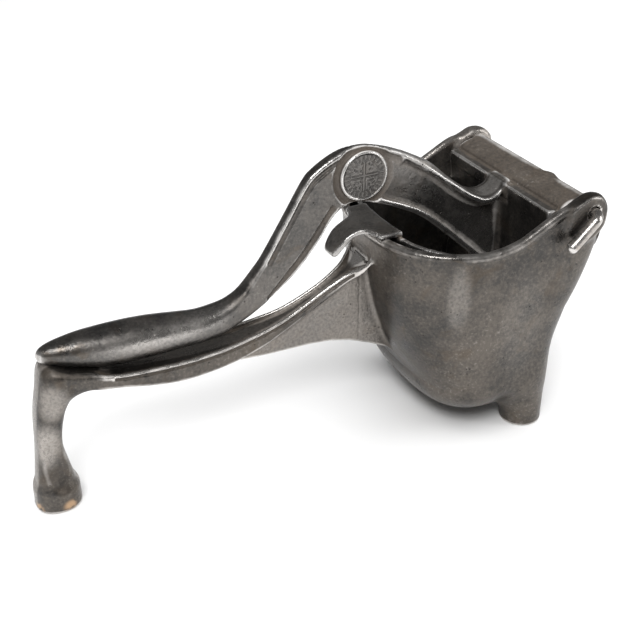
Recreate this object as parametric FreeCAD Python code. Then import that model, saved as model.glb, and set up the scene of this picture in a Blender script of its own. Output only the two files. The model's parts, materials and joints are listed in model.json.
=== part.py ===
import FreeCAD, Part
import math
import os

# Cast hand lever press.
# +X points from the handle end to the hinge end, +Y across, +Z up.
# The origin is at the middle of the footprint, on the surface the press stands on.
# Profiles are drawn from the hinge: x is measured from the hinge axis, z from the ground.

# Driving dimensions, in millimetres.
HINGE_X = 119.45         # hinge axis, from the origin
HINGE_Z = 110.0          # hinge axis, above the ground
ROD_RADIUS = 2.7         # 7/32 in wire rod
RUN_CLEARANCE = 0.06     # radial clearance of the rod in its bores
EAR_OUTER = 50.0         # outer face of each ear, from the middle plane
EAR_INNER = 43.4
EAR_RADIUS = 7.3
HOPPER_HALF_WIDTH = 48.0
HOPPER_BOTTOM = 4.0
HOPPER_TURN = 27.0       # height at which the bowl turns in towards its bottom
WALL = 3.6
FLOOR_THICKNESS = 5.0
FRONT_FULLNESS = 2.7     # superellipse exponent of the hopper's front
REAR_FULLNESS = 5.0      # and of its squarer rear
LINER_RADIUS = 80.0      # inner surface of the liner, swung about the hinge
LINER_WALL = 2.2
LINER_HALF_WIDTH = 41.4
LIP_TOP = 104.0
PLATE_RADIUS = 77.6      # tip of the press plate, from the hinge
PLATE_HALF_WIDTH = 40.5
PLATE_INSET = 7.6        # of the plate's edge, from the hopper's outer face
BARREL_RADIUS = 4.8      # wall of the lever's eye round the rod
BARREL_HALF_LENGTH = 42.9
GRIP_RADIUS = 9.3
ARM_HALF_THICKNESS = 3.0
PANEL_DEPTH = 1.2
ROUNDEL_RADIUS = 11.7
REAR_LEG_RADIUS = 10.0
REAR_LEG_X = -20.0
REAR_LEG_Y = 38.0
FOOT_RADIUS = 10.2
FOOT_X = -240.8
FOOT_HEIGHT = 11.0
GUSSET_HALF_THICKNESS = 2.8
TROUGH_DEPTH = 2.2
RIDGE_WIDTH = 1.9
SKIRT_THICKNESS = 2.8
HOLE_RADIUS = 1.6
HOLE_PITCH = 9.0
HOLE_ROW_LOW = 59.0
HOLE_ROW_PITCH = 7.5
LIP_BOTTOM = 101.65
LINER_TOP = 96.5
LINER_GAP = 0.5          # between the liner and the hopper's inside
LIP_HALF_WIDTH = 17.0
TONGUE_HALF_WIDTH = 6.5
GRIP_TIP_X = -241.2
GRIP_TIP_Z = 75.1
GRIP_TILT = 2.8          # degrees, nose up
ROUNDEL_X = -90.8
ROUNDEL_Z = 127.3
HOOK_BEND = 3.4          # centre-line radius of the rod's bend
HOOK_LENGTH = 16.0
ROD_REACH = 56.1         # how far the rod reaches to each side of the middle plane

UP = FreeCAD.Vector(0, 0, 1)
ACROSS = FreeCAD.Vector(0, 1, 0)
HINGE = FreeCAD.Vector(0, 0, HINGE_Z)


def spline(points):
    """An edge through the points."""
    curve = Part.BSplineCurve()
    curve.interpolate([FreeCAD.Vector(*p) for p in points])
    return curve.toShape()


def line(start, end):
    return Part.makeLine(FreeCAD.Vector(*start), FreeCAD.Vector(*end))


def side_solid(edges, half_width):
    """Extrude a closed side outline to both sides of the middle plane."""
    face = Part.Face(Part.Wire(Part.__sortEdges__(edges)))
    face.translate(FreeCAD.Vector(0, -half_width, 0))
    return face.extrude(ACROSS * (2 * half_width))


def side_band(upper, lower, half_width):
    """The solid between an upper and a lower side curve, given as (x, z) points with the same ends in x."""
    top = [(x, 0, z) for x, z in upper]
    low = [(x, 0, z) for x, z in lower]
    edges = [spline(top), spline(low), line(top[0], low[0]), line(top[-1], low[-1])]
    return side_solid(edges, half_width)


def side_polygon(points, half_width):
    corners = [FreeCAD.Vector(x, 0, z) for x, z in points]
    face = Part.Face(Part.makePolygon(corners + corners[:1]))
    face.translate(FreeCAD.Vector(0, -half_width, 0))
    return face.extrude(ACROSS * (2 * half_width))


def plan_band(half_widths, low, high):
    """The upright solid inside a symmetric plan outline, given as (x, half width) points."""
    near = [(x, -w, low) for x, w in half_widths]
    far = [(x, w, low) for x, w in half_widths]
    edges = [spline(near), spline(far), line(near[0], far[0]), line(near[-1], far[-1])]
    face = Part.Face(Part.Wire(Part.__sortEdges__(edges)))
    return face.extrude(UP * (high - low))


def across_cylinder(radius, y_low, y_high, x=0.0, z=HINGE_Z):
    return Part.makeCylinder(radius, y_high - y_low, FreeCAD.Vector(x, y_low, z), ACROSS)


# ---------------------------------------------------------------- body

def hopper_front(z):
    """Outer front face of the hopper in the middle plane."""
    return -90.0 + 0.0033 * (104.0 - min(z, 104.0)) ** 2


def hopper_rear(z):
    """Outer rear face of the hopper, which leans in towards the bottom."""
    return 12.5 - 0.0208 * (104.0 - min(z, 104.0)) ** 1.633


def hopper_section(z, inset):
    """A closed plan wire of the hopper at height z, drawn in by inset."""
    level = max(z, HOPPER_TURN)
    turn = max(HOPPER_TURN - z, 0.0) / (HOPPER_TURN - HOPPER_BOTTOM + 0.6)
    shrink = math.sqrt(max(1.0 - turn ** 2, 0.0))
    front = hopper_front(level)
    rear = hopper_rear(level)
    middle = -40.0 + ((front + rear) / 2 + 40.0) * shrink
    half_length = (rear - front) / 2 * shrink - inset
    half_width = HOPPER_HALF_WIDTH * shrink - inset
    points = []
    for step in range(48):
        angle = 2 * math.pi * step / 48
        c = math.cos(angle)
        s = math.sin(angle)
        fullness = FRONT_FULLNESS if c < 0 else REAR_FULLNESS
        reach = (abs(c) ** fullness + abs(s) ** fullness) ** (-1 / fullness)
        points.append(FreeCAD.Vector(middle + half_length * c * reach, half_width * s * reach, z))
    curve = Part.BSplineCurve()
    curve.interpolate(points, PeriodicFlag=True)
    return Part.Wire(curve.toShape())


def hopper_block(levels, inset):
    return Part.makeLoft([hopper_section(z, inset) for z in levels], True, False)


def rim_cutter():
    """Everything above the rim line, which dips behind the lip and climbs to the ears."""
    rim = [(-100, 101.6), (-86, 101.6), (-70, 101.0), (-52, 100.2), (-38, 102.4), (-27, 106.4), (-17, 111.4),
           (-9, 114.6)]
    top = [(x, 0, z) for x, z in rim]
    edges = [spline(top), line(top[-1], (-9, 0, 140)), line((-9, 0, 140), (-100, 0, 140)),
             line((-100, 0, 140), top[0])]
    front_part = side_solid(edges, 60)
    rear_part = side_polygon([(-9.01, 98.0), (20, 98.0), (20, 140), (-9.01, 140)], 60)
    return front_part.fuse(rear_part)


def ear(side):
    """One hinge ear: a round eye on a web that runs down into the hopper's side wall."""
    y_low = min(side * EAR_INNER, side * EAR_OUTER)
    y_high = max(side * EAR_INNER, side * EAR_OUTER)
    eye = across_cylinder(EAR_RADIUS, y_low, y_high)
    corners = [(-9.5, 114.2), (-2.0, 117.0), (5.0, 115.3), (7.2, 110), (9.0, 99), (7.0, 84), (-8, 76),
               (-22, 84), (-26, 103)]
    web = side_polygon(corners, (EAR_OUTER - EAR_INNER) / 2)
    web.translate(FreeCAD.Vector(0, side * (EAR_OUTER + EAR_INNER) / 2, 0))
    return eye.fuse(web)


ARM_TOP = [(-240.5, 72.4), (-236, 71.0), (-228, 68.0), (-218, 65.0), (-208, 63.5), (-196, 62.7),
           (-184, 61.8), (-174, 61.3), (-160, 61.6), (-150, 62.8), (-140, 64.5), (-130, 67.0), (-120, 71.2),
           (-110, 76.2), (-102, 80.7), (-95, 85.0), (-90, 90.0), (-84, 99.0)]
SKIRT_BOTTOM = [(-240.5, 60.5), (-234, 59.0), (-222, 58.2), (-210, 57.2), (-197, 54.6), (-183, 52.2),
                (-169, 51.9), (-155, 53.2), (-141, 56.6), (-125, 62.8), (-108, 71.6), (-93, 82.0), (-84, 90.0)]
ARM_PLAN = [(-240.5, 7.8), (-232, 9.8), (-216, 11.4), (-200, 12.2), (-186, 11.6), (-165, 9.6), (-150, 8.0),
            (-140, 7.0), (-130, 5.5), (-120, 4.6), (-110, 4.2), (-102, 5.2), (-95, 8.4), (-90, 12.0),
            (-84, 22.0)]


def lowered(points, drop):
    return [(x, z - drop) for x, z in points]


def narrowed(points, inset):
    return [(x, w - inset) for x, w in points]


def front_arm():
    """The arm: a shallow trough between two ridges on top, hollow between two skirts below."""
    arm = side_band(ARM_TOP, SKIRT_BOTTOM, 40).common(plan_band(ARM_PLAN, 40, 120))
    inner_plan = narrowed([p for p in ARM_PLAN if p[0] <= -102], RIDGE_WIDTH)
    trough = side_band(lowered(ARM_TOP, -20), lowered(ARM_TOP, TROUGH_DEPTH), 30)
    trough = trough.common(plan_band(inner_plan, 40, 120))
    skirt_plan = narrowed([p for p in ARM_PLAN if -216 <= p[0] <= -130], SKIRT_THICKNESS)
    hollow = side_band(lowered(ARM_TOP, TROUGH_DEPTH + 3.2), lowered(SKIRT_BOTTOM, 20), 30)
    hollow = hollow.common(plan_band(skirt_plan, 20, 120))
    return arm.cut(trough).cut(hollow)


def gusset():
    corners = [(-156, 57.4), (-152, 49.1), (-138, 48.4), (-117, 48.0), (-107, 47.0), (-96.6, 44.4),
               (-86, 40.0), (-80, 37.0), (-72, 35.4), (-72, 80.0), (-90, 82.4), (-106, 74.0), (-131, 62.4)]
    return side_polygon(corners, GUSSET_HALF_THICKNESS)


LEG_SECTIONS = [(5, -249.8, -231.8, 9.0), (13, -249.4, -232.2, 8.5), (20, -248.2, -234.2, 8.0),
                (30, -247.0, -235.4, 7.8), (40, -246.1, -234.9, 7.9), (50, -245.2, -231.8, 8.3),
                (60, -243.4, -225.2, 8.8)]


def front_leg():
    """The front leg, an oval post described by height, front, rear and half width, on its round foot."""
    ovals = []
    for z, front, rear, half_width in LEG_SECTIONS:
        centre = FreeCAD.Vector((front + rear) / 2, 0, z)
        along = centre + FreeCAD.Vector((rear - front) / 2, 0, 0)
        side = centre + ACROSS * half_width
        if rear - front < 2 * half_width:
            along, side = side, along
        ovals.append(Part.Wire(Part.Ellipse(along, side, centre).toShape()))
    leg = Part.makeLoft(ovals, True, False)
    foot = Part.makeCylinder(FOOT_RADIUS, FOOT_HEIGHT, FreeCAD.Vector(FOOT_X, 0, 0))
    foot = foot.makeFillet(1.4, [foot.Edges[0], foot.Edges[2]])
    return leg.fuse(foot)


def rear_leg(side):
    base = FreeCAD.Vector(REAR_LEG_X, side * REAR_LEG_Y, 0)
    post = Part.makeCylinder(REAR_LEG_RADIUS, 46.0, base)
    return post.makeFillet(1.2, [post.Edges[2]])


def body_casting():
    levels = [HOPPER_BOTTOM + 0.4, 6.5, 10, 15, 21, 27, 36, 48, 62, 78, 92, 104, 120]
    shell = hopper_block(levels, 0.0)
    shell = shell.cut(rim_cutter())
    for side in (-1, 1):
        shell = shell.fuse(ear(side))
        shell = shell.fuse(rear_leg(side))
    shell = shell.fuse(front_arm()).fuse(gusset()).fuse(front_leg())
    inner_levels = [HOPPER_BOTTOM + FLOOR_THICKNESS, 12, 16, 21, 27, 36, 48, 62, 78, 92, 104, 130]
    shell = shell.cut(hopper_block(inner_levels, WALL))
    shell = shell.cut(across_cylinder(ROD_RADIUS + RUN_CLEARANCE, -60, 60))
    return shell.removeSplitter()


# ---------------------------------------------------------------- liner

def swung_outline(radius, half_width, fullness=2.7, reach=33.0):
    """Half outline of the press plate's tip in (y, distance below the hinge): square sides, round tip."""
    points = []
    for step in range(9):
        angle = math.pi / 2 * step / 8
        c = math.cos(angle) ** (2 / fullness)
        s = math.sin(angle) ** (2 / fullness)
        points.append((half_width * s, radius - reach + reach * c))
    return points


def swung_solid(radius, half_width, start_deg, sweep_deg):
    """The tip outline swung about the hinge, from straight forward (0) towards straight down (90)."""
    half = swung_outline(radius, half_width)
    whole = [(-y, r) for y, r in reversed(half[1:])] + half
    arc = spline([(-r, y, HINGE_Z) for y, r in whole])
    low_left = (0, whole[0][0], HINGE_Z)
    low_right = (0, whole[-1][0], HINGE_Z)
    first = (-whole[0][1], whole[0][0], HINGE_Z)
    last = (-whole[-1][1], whole[-1][0], HINGE_Z)
    edges = [arc, line(first, low_left), line(low_left, low_right), line(low_right, last)]
    face = Part.Face(Part.Wire(Part.__sortEdges__(edges)))
    face.rotate(HINGE, ACROSS, -start_deg)
    return face.revolve(HINGE, ACROSS * -1, sweep_deg)


LINER_REAR = [(7.0, 97.0), (5.0, 84.0), (1.2, 70.0), (-3.9, 56.0), (-9.2, 44.0), (-15.4, 31.0), (-19.0, 24.0)]


def in_front_of(points, offset, half_width):
    """Everything in front of a rear side curve, moved forward by offset, and of the upright above it."""
    curve = [(x - offset, 0, z) for x, z in points]
    head = (curve[0][0], 0, HINGE_Z)
    far_head = (-130, 0, HINGE_Z)
    far_foot = (-130, 0, curve[-1][2])
    edges = [spline(curve), line(curve[0], head), line(head, far_head), line(far_head, far_foot),
             line(far_foot, curve[-1])]
    return side_solid(edges, half_width)


def liner_holes():
    """Round drain holes: rows across the rear wall, and rows across the swung floor."""
    holes = []
    for row in range(5):
        for column in range(-3, 4):
            base = FreeCAD.Vector(-24, HOLE_PITCH * column, HOLE_ROW_LOW + HOLE_ROW_PITCH * row)
            holes.append(Part.makeCylinder(HOLE_RADIUS, 40, base, FreeCAD.Vector(1, 0, 0)))
    for row in range(4):
        angle = math.radians(46 + 8 * row)
        outward = FreeCAD.Vector(-math.cos(angle), 0, -math.sin(angle))
        for column in range(-3, 4):
            base = HINGE + outward * (LINER_RADIUS - 8) + ACROSS * (HOLE_PITCH * column)
            holes.append(Part.makeCylinder(HOLE_RADIUS, 20, base, outward))
    return holes


def lip_tab():
    """The tab that rests on the front rim, and the thumb tongue that curls down from it."""
    tab = hopper_block([LIP_BOTTOM, LIP_TOP], -0.3)
    tab = tab.common(Part.makeBox(40, 2 * LIP_HALF_WIDTH, 20, FreeCAD.Vector(-100, -LIP_HALF_WIDTH, 90)))
    upper = [(-86, 104.0), (-94, 103.8), (-100.5, 101.0), (-104.6, 96.6), (-107.6, 92.4)]
    lower = [(-86, LIP_BOTTOM), (-93.2, 101.5), (-98.8, 99.2), (-102.6, 95.2), (-105.6, 91.2)]
    return tab.fuse(side_band(upper, lower, TONGUE_HALF_WIDTH))


def strainer_insert():
    """The liner: a perforated pan swung about the hinge, closed behind by a wall along the hopper's rear."""
    levels = [20, 27, 36, 48, 62, 78, 92, 104, 112]
    outer = swung_solid(LINER_RADIUS + LINER_WALL, LINER_HALF_WIDTH + LINER_WALL, -8, 112)
    outer = outer.common(in_front_of(LINER_REAR, 0, 60)).common(hopper_block(levels, WALL + LINER_GAP))
    outer = outer.common(side_polygon([(-100, 20), (20, 20), (20, LINER_TOP), (-60, LINER_TOP),
                                       (-68, LIP_BOTTOM + 0.35), (-100, LIP_BOTTOM + 0.35)], 60))
    inner = swung_solid(LINER_RADIUS, LINER_HALF_WIDTH, -12, 120)
    inner = inner.common(in_front_of(LINER_REAR, LINER_WALL, 60))
    inner = inner.common(hopper_block(levels, WALL + LINER_GAP + LINER_WALL))
    liner = outer.fuse(lip_tab()).cut(inner)
    return liner.cut(Part.makeCompound(liner_holes())).removeSplitter()


# ---------------------------------------------------------------- lever

LEVER_TOP = [(-168, 78.2), (-160, 79.6), (-155, 81.2), (-150, 84.2), (-143.8, 91.3), (-138.8, 97.4),
             (-133.8, 105.0), (-128.8, 113.4), (-123.9, 121.8), (-119.1, 128.6), (-114.3, 133.2), (-107, 137.5),
             (-99.9, 140.2), (-93, 141.0), (-85.2, 139.8), (-75, 136.2), (-66, 132.0), (-57.6, 126.2),
             (-46.5, 116.9), (-36, 109.2), (-28, 105.6), (-22, 106.5), (-17, 110.0)]
LEVER_LOW = [(-168, 64.8), (-160, 65.5), (-150.6, 69.0), (-141.8, 73.9), (-131.9, 80.8), (-122, 89.2),
             (-112.1, 100.7), (-107.2, 108.1), (-102.3, 113.0), (-92.4, 114.9), (-82.3, 112.2), (-71.8, 107.3),
             (-61, 101.2), (-49.6, 92.0), (-34.8, 78.6), (-25, 69.5), (-17, 62.0)]
PLATE_FRONT = [(-18.2, 109.5), (-18.2, 104.0), (-17.6, 95.0), (-15.9, 79.0), (-16.4, 65.0), (-19.0, 52.0),
               (-25.4, 34.0)]
PLATE_REAR = [(-9.0, 106.0), (-9.4, 95.0), (-8.8, 79.0), (-10.2, 65.0), (-13.6, 52.0), (-20.6, 34.0)]
HINGE_BLOCK = [(-17.9, 104.0), (-17.9, 110.4), (-17.2, 111.1), (-12.6, 111.1), (-10.6, 112.8), (-7.2, 114.1),
               (-3.4, 114.6), (0, 114.5), (0, 104.9), (-9.0, 104.2)]
GRIP_PROFILE = [(0, 0), (1.2, 2.9), (6, 5.0), (14, 7.0), (27, 8.8), (38, GRIP_RADIUS), (53, 9.0), (69, 8.0),
                (79, 7.6), (87, 6.0), (92, 0)]


def grip():
    """The spindle grip, turned about its own axis and then tilted onto the arm's line."""
    profile = spline([(x, 0, r) for x, r in GRIP_PROFILE])
    face = Part.Face(Part.Wire([profile, line((GRIP_PROFILE[-1][0], 0, 0), (0, 0, 0))]))
    spindle = face.revolve(FreeCAD.Vector(0, 0, 0), FreeCAD.Vector(1, 0, 0), 360)
    spindle.rotate(FreeCAD.Vector(0, 0, 0), ACROSS, GRIP_TILT)
    spindle.translate(FreeCAD.Vector(GRIP_TIP_X, 0, GRIP_TIP_Z))
    return spindle


PANEL_TOP = [(-134.5, 94.0), (-130.5, 103.0), (-123, 116.5), (-114.5, 127.4), (-106.5, 133.4), (-98, 136.0),
             (-88, 135.2), (-78, 131.6), (-68, 126.4), (-57.5, 119.8), (-47, 112.0), (-37, 104.6), (-25, 98.0)]
PANEL_LOW = [(-133.0, 87.0), (-125.5, 92.8), (-117, 102.4), (-111, 111.2), (-104.5, 117.4), (-93, 119.6),
             (-82, 117.0), (-71.5, 112.0), (-60, 105.0), (-48, 95.6), (-33, 83.0), (-25, 75.8)]
FLANGE_TOP = [(-58, 126.0), (-46.5, 117.4), (-36, 109.7), (-28, 106.0), (-22, 106.9), (-16.8, 110.4)]
FLANGE_PLAN = [(-60, 4.1), (-46, 5.4), (-36, 7.4), (-28, 8.4), (-15, 8.2)]
FLANGE_DEPTH = 3.0


def lever_arm():
    """The flat cast arm, with a sunk panel on each face and a round boss on the near face."""
    arm = side_band(LEVER_TOP, LEVER_LOW, ARM_HALF_THICKNESS)
    panel = side_band(PANEL_TOP, PANEL_LOW, 20)
    core = Part.makeBox(300, 2 * (ARM_HALF_THICKNESS - PANEL_DEPTH), 300,
                        FreeCAD.Vector(-250, PANEL_DEPTH - ARM_HALF_THICKNESS, 0))
    arm = arm.cut(panel.cut(core))
    moat = across_cylinder(ROUNDEL_RADIUS + 1.4, -10, -2.1, ROUNDEL_X, ROUNDEL_Z)
    boss = across_cylinder(ROUNDEL_RADIUS, -ARM_HALF_THICKNESS - 0.2, 0, ROUNDEL_X, ROUNDEL_Z)
    arm = arm.cut(moat).fuse(boss)
    flange = side_band(FLANGE_TOP, lowered(FLANGE_TOP, FLANGE_DEPTH), 20)
    flange = flange.common(plan_band(FLANGE_PLAN, 90, 140))
    return arm.fuse(flange)


def press_plate():
    """The plate and the ledged block at its top; the plate's tip is rounded to swing through the liner."""
    plate = side_band(PLATE_FRONT, PLATE_REAR, PLATE_HALF_WIDTH)
    plate = plate.common(swung_solid(PLATE_RADIUS, PLATE_HALF_WIDTH + 1.0, 5, 110))
    plate = plate.common(hopper_block([27, 36, 48, 62, 78, 92, 104, 112], PLATE_INSET))
    return plate.fuse(side_polygon(HINGE_BLOCK, PLATE_HALF_WIDTH))


def lever_casting():
    barrel = across_cylinder(BARREL_RADIUS, -BARREL_HALF_LENGTH, BARREL_HALF_LENGTH)
    lever = lever_arm().fuse(grip()).fuse(press_plate()).fuse(barrel)
    lever = lever.cut(across_cylinder(ROD_RADIUS + RUN_CLEARANCE, -60, 60))
    return lever.removeSplitter()


# ---------------------------------------------------------------- rod

def hinge_rod():
    """A straight rod through ears and barrel, with its near end bent forward and down as a pull."""
    forward = FreeCAD.Vector(-0.73, 0, -0.68).normalize()
    bend_start = HINGE - ACROSS * (ROD_REACH - ROD_RADIUS - HOOK_BEND)
    bend_end = bend_start - ACROSS * HOOK_BEND + forward * HOOK_BEND
    half = math.sqrt(0.5)
    bend_middle = bend_start - ACROSS * (HOOK_BEND * half) + forward * (HOOK_BEND * (1 - half))
    far_end = HINGE + ACROSS * ROD_REACH
    bend = Part.Arc(bend_start, bend_middle, bend_end).toShape()
    hook = Part.makeLine(bend_end, bend_end + forward * HOOK_LENGTH)
    route = Part.Wire([Part.makeLine(far_end, bend_start), bend, hook])
    ring = Part.Wire(Part.makeCircle(ROD_RADIUS, far_end, ACROSS))
    return route.makePipeShell([ring], True, False)


def write(name, shape):
    placed = shape.copy()
    placed.translate(FreeCAD.Vector(HINGE_X, 0, 0))
    solids = placed.Solids
    box = placed.BoundBox
    print(name, "solids", len(solids), "valid", placed.isValid(), "volume", round(placed.Volume),
          "box", [round(v, 2) for v in (box.XMin, box.YMin, box.ZMin, box.XMax, box.YMax, box.ZMax)])
    placed.exportStep("parts/" + name + ".step")


os.makedirs("parts", exist_ok=True)
write("body_casting", body_casting())
write("strainer_insert", strainer_insert())
write("lever_casting", lever_casting())
write("hinge_rod", hinge_rod())
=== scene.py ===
"""Cast hand lever press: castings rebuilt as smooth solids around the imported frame, with worn metal."""
import json
import math

import bpy
import numpy as np
import openvdb
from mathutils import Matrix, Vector

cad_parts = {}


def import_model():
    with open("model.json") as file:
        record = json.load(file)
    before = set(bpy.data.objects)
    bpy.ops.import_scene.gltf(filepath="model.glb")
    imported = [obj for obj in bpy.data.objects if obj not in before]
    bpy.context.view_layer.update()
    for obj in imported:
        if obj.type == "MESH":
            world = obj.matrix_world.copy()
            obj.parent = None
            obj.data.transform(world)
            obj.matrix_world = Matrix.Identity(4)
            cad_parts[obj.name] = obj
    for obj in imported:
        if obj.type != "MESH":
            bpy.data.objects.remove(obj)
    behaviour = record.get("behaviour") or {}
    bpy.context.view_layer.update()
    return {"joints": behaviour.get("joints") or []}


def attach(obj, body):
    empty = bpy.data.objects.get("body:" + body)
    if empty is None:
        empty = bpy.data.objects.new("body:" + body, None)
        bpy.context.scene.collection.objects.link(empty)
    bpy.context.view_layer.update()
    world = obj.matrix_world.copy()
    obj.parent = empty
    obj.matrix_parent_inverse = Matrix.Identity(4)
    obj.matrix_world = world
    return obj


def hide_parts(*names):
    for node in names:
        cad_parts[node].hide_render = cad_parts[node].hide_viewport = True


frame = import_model()

# ------------------------------------------------------------------ sizes
# Shapes are drawn in millimetres from the hinge: x from the hinge axis, z from the ground.
M = 0.001
HINGE = next(j for j in frame["joints"] if j["name"] == "lever_hinge")["pos_m"]
HINGE_X = HINGE[0] / M
HINGE_Z = HINGE[2] / M

ROD_RADIUS = 2.7
BORE_RADIUS = 3.2            # of the holes in the ears
EAR_INNER, EAR_OUTER = 43.4, 49.8
EAR_REACH = 49.9             # nothing of the body goes further to the side than this
BODY_REAR = 12.0             # nor further back than this
WALL = 3.6
HOPPER_HALF_WIDTH = 48.0
HOPPER_BOTTOM, HOPPER_TURN, HOPPER_TOP = 4.0, 27.0, 104.0
HOPPER_MIDDLE = -40.0
HOPPER_FRONT, HOPPER_REAR = -90.0, 12.5
HOPPER_FRONT_FULLNESS = 2.7  # superellipse exponent of the rounded front
REAR_RIM, REAR_CUT_FRONT = 98.0, -12    # between the ears, the wall behind this x is cut to this height
BEAD_RADIUS = 2.3            # of the rolled rim
TAB_SEAT_LOW, TAB_SEAT_HALF, TAB_SEAT_END = 101.5, 17.4, -66
REAR_LEG_X, REAR_LEG_Y, REAR_LEG_RADIUS, REAR_LEG_TOP = -20, 38, 10.0, 60
ARM_NOSE = -240.8
TROUGH_DEPTH, RIDGE_WIDTH = 1.5, 2.0
SEAM_START, SEAM_END, SEAM_RADIUS = -212, -97, 0.6
GUSSET_HALF = 2.8
FOOT_X, FOOT_RADIUS, FOOT_HEIGHT = -240.3, 9.9, 11.4
LEG_FULLNESS = 2.6
SCOOP_PLACE, SCOOP_RADII = (-239.0, 14.6, 25.5), (8.4, 9.4, 17.5)
PLATE_RADIUS, PLATE_HALF_WIDTH, PLATE_TOP = 77.5, 40.5, 110.0
PLATE_INSET = 7.6            # of the plate's edge from the hopper's skin
BLOCK_FRONT, BLOCK_LOW, BLOCK_TOP, BLOCK_HALF_WIDTH = -17.7, 104.6, 110.3, 40.4
BARREL_HALF_LENGTH, BARREL_LOW = 42.0, 103.4
HUMP_PLACE, HUMP_RADII = (-3.8, 108.3), (9.8, 6.1)
CREASE_X, CREASE_Z, CREASE_RADIUS, CREASE_HALF_LENGTH = -13.2, 110.9, 0.8, 39.0
LUG_PLACE, LUG_RADII = (-0.5, -14, 114.0), (4.5, 4.0, 1.7)
LEVER_EYE_RADIUS, LEVER_EYE_REACH = 4.6, 42.8
LINER_RADIUS, LINER_HALF_WIDTH, LINER_WALL = 80.0, 41.4, 2.2
LINER_GAP = 0.5              # between the liner and the hopper's inside
DRAIN_RADIUS, DRAIN_PITCH = 1.6, 9.0
DRAIN_LAST_COLUMN = 3        # to each side of the middle one
WALL_ROW_LOW, WALL_ROW_PITCH, WALL_LAST_ROW = 59.0, 7.5, 4
WALL_HOLES_FROM = -24.0
FLOOR_ROW_START, FLOOR_ROW_STEP, FLOOR_LAST_ROW = 46.0, 8.0, 3    # degrees below the hinge's level
FLOOR_HOLES_FROM = 60.0      # from the hinge


# ------------------------------------------------------------------ solid-modelling helpers
def smooth_curve(points, per_span=8, closed=False):
    """Points of a Catmull-Rom curve through the given ones."""
    p = np.array(points, float)
    if closed:
        p = np.vstack([p[-1], p, p[0], p[1]])
    else:
        p = np.vstack([2 * p[0] - p[1], p, 2 * p[-1] - p[-2]])
    t = np.linspace(0, 1, per_span, endpoint=False)[:, None]
    out = []
    for a, b, c, d in zip(p, p[1:], p[2:], p[3:]):
        out.append(0.5 * (2 * b + (c - a) * t + (2 * a - 5 * b + 4 * c - d) * t ** 2
                          + (3 * b - a - 3 * c + d) * t ** 3))
    out = np.vstack(out)
    return out if closed else np.vstack([out, p[-2]])


class Graph:
    """A smooth height over x, with the factor that turns a height difference into a distance."""

    def __init__(self, points):
        c = smooth_curve(points)
        self.x, first = np.unique(c[:, 0], return_index=True)
        self.height = c[first, 1]
        self.cosine = 1 / np.sqrt(1 + np.gradient(self.height, self.x) ** 2)

    def __call__(self, x):
        return np.interp(x, self.x, self.height)

    def factor(self, x):
        return np.interp(x, self.x, self.cosine)


def plane_grid(points, cell, margin):
    """The low corner of a square grid round the points, and the grid's two axes."""
    low = points.min(0) - margin
    size = np.ceil((points.max(0) + margin - low) / cell).astype(int) + 1
    a = (low[0] + cell * np.arange(size[0]))[:, None]
    b = (low[1] + cell * np.arange(size[1]))[None, :]
    return low, a, b


def square_to_segment(a, b, start, end):
    """Square of the distance from each grid place to a straight segment."""
    da, db = end - start
    t = np.clip(((a - start[0]) * da + (b - start[1]) * db) / (da * da + db * db), 0, 1)
    return (a - start[0] - t * da) ** 2 + (b - start[1] - t * db) ** 2


class Outline:
    """Signed distance to a closed plane outline, kept as a table."""

    def __init__(self, points, cell=0.4, margin=12.0):
        p = np.array(points, float)
        self.cell = cell
        self.low, a, b = plane_grid(p, cell, margin)
        near = np.full((a.size, b.size), 1e9)
        inside = np.zeros(near.shape, bool)
        for start, end in zip(p, np.roll(p, -1, 0)):
            da, db = end - start
            if da * da + db * db < 1e-12:
                continue
            near = np.minimum(near, square_to_segment(a, b, start, end))
            if db != 0:
                crosses = (start[1] > b) != (end[1] > b)
                inside ^= crosses & (a < start[0] + (b - start[1]) * da / db)
        self.table = np.where(inside, -1, 1) * np.sqrt(near)

    def __call__(self, a, b):
        u = np.clip((a - self.low[0]) / self.cell, 0, self.table.shape[0] - 1.001)
        v = np.clip((b - self.low[1]) / self.cell, 0, self.table.shape[1] - 1.001)
        i, j = u.astype(int), v.astype(int)
        u, v = u - i, v - j
        t = self.table
        return ((t[i, j] * (1 - u) + t[i + 1, j] * u) * (1 - v)
                + (t[i, j + 1] * (1 - u) + t[i + 1, j + 1] * u) * v)


def join(a, b, k=0.01):
    """Union with a fillet of about k."""
    h = np.maximum(k - np.abs(a - b), 0) / k
    return np.minimum(a, b) - h * h * k / 4


def meet(a, b, k=0.01):
    """Intersection with a rounded edge of about k."""
    return -join(-a, -b, k)


def carve(a, b, k=0.01):
    """Takes b away from a."""
    return meet(a, -b, k)


def disc(a, b, radius):
    """Distance to a round bar, from the two offsets across it."""
    return np.sqrt(a * a + b * b) - radius


def fade(value, start, end):
    """Smooth step from 0 at start to 1 at end."""
    t = np.clip((value - start) / (end - start), 0, 1)
    return t * t * (3 - 2 * t)


def oval(place, centre, radii):
    """0 at the centre of an ellipsoid and 1 at its surface; given two offsets, the same for an oval bar."""
    return np.sqrt(sum(((p - c) / r) ** 2 for p, c, r in zip(place, centre, radii)))


def blob(x, y, z, centre, radii):
    """1 at the centre of an ellipsoid, falling to 0 at its surface."""
    return 1 - fade(oval((x, y, z), centre, radii), 0.35, 1.0)


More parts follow.
